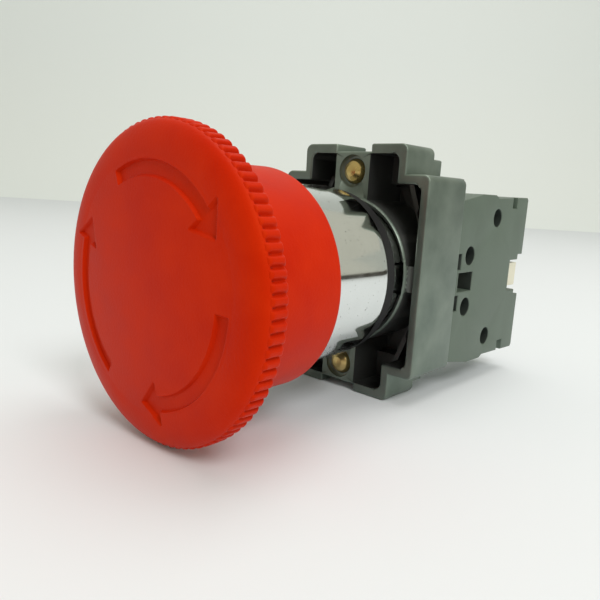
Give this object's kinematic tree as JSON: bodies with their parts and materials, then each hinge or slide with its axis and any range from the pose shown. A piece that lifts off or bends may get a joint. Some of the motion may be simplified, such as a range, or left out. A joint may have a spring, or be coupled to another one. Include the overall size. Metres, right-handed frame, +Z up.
{
  "type": "emergency stop button",
  "caption": "Panel-mounted emergency stop: a red mushroom button, pushed to stop and turned to release, on a chrome bezel with a clamping collar and a contact block behind the panel.",
  "frame": {"origin": "centre of the bezel's rear face, the plane that seats on the front of the panel", "axes": "+Y into the panel, from the mushroom cap to the contact block; +Z up; +X to the right as the cap is seen from the front"},
  "size_m": [0.04, 0.0769, 0.0406],
  "materials": {
    "red_plastic": "fine satin, moulded",
    "steel": "bright zinc plated",
    "spring_steel": "drawn wire",
    "chrome_plate": "mirror bright",
    "white_plastic": "acetal, satin",
    "black_plastic": "satin",
    "rubber": "matt",
    "die_cast_zinc": "as-cast zinc alloy with a thin grey passivation, satin",
    "yellow_zinc": "yellow passivated, domed",
    "grey_plastic": "moulded grey-green, fine texture",
    "cream_plastic": "acetal, satin",
    "copper_alloy": "rolled strip",
    "silver_contact": "silver alloy"
  },
  "bodies": {
    "base": {"bezel": "chrome_plate", "guide_bush": "black_plastic", "latch_cage": "black_plastic", "latch_ring": "spring_steel", "return_spring": "spring_steel", "panel_gasket": "rubber", "mounting_collar": "die_cast_zinc", "clamp_screws": "yellow_zinc", "block_screws": "steel", "block_case": "grey_plastic", "block_cover": "grey_plastic", "plunger_spring": "spring_steel", "fixed_contacts": "yellow_zinc", "fixed_tips": "silver_contact", "terminal_plates": "yellow_zinc", "terminal_screws": "steel"},
    "carrier": {"push_pad": "black_plastic"},
    "button": {"mushroom_cap": "red_plastic", "shaft": "steel", "latch_cam": "white_plastic", "shaft_clip": "spring_steel", "pad_clip": "spring_steel"},
    "contact_slide": {"plunger": "cream_plastic", "contact_spring": "spring_steel", "bridge_contact": "copper_alloy", "bridge_tips": "silver_contact"}
  },
  "joints": [
    {"name": "push", "type": "slide", "parent": "base", "child": "carrier", "axis": [0, 1, 0], "range_m": [0, 0.0045], "stiffness_N_per_m": 900, "springref_m": -0.004, "deforming": ["return_spring", "plunger_spring"]},
    {"name": "twist", "type": "hinge", "parent": "carrier", "child": "button", "pos_m": [0, 0, 0], "axis": [0, 1, 0], "range_deg": [0, 40], "stiffness_Nm_per_rad": 0.03},
    {"name": "plunger_slide", "type": "slide", "parent": "base", "child": "contact_slide", "axis": [0, 1, 0], "range_m": [0, 0.0045]}
  ],
  "couplings": [
    {"joint": "plunger_slide", "follows": "push", "ratio": 1}
  ]
}
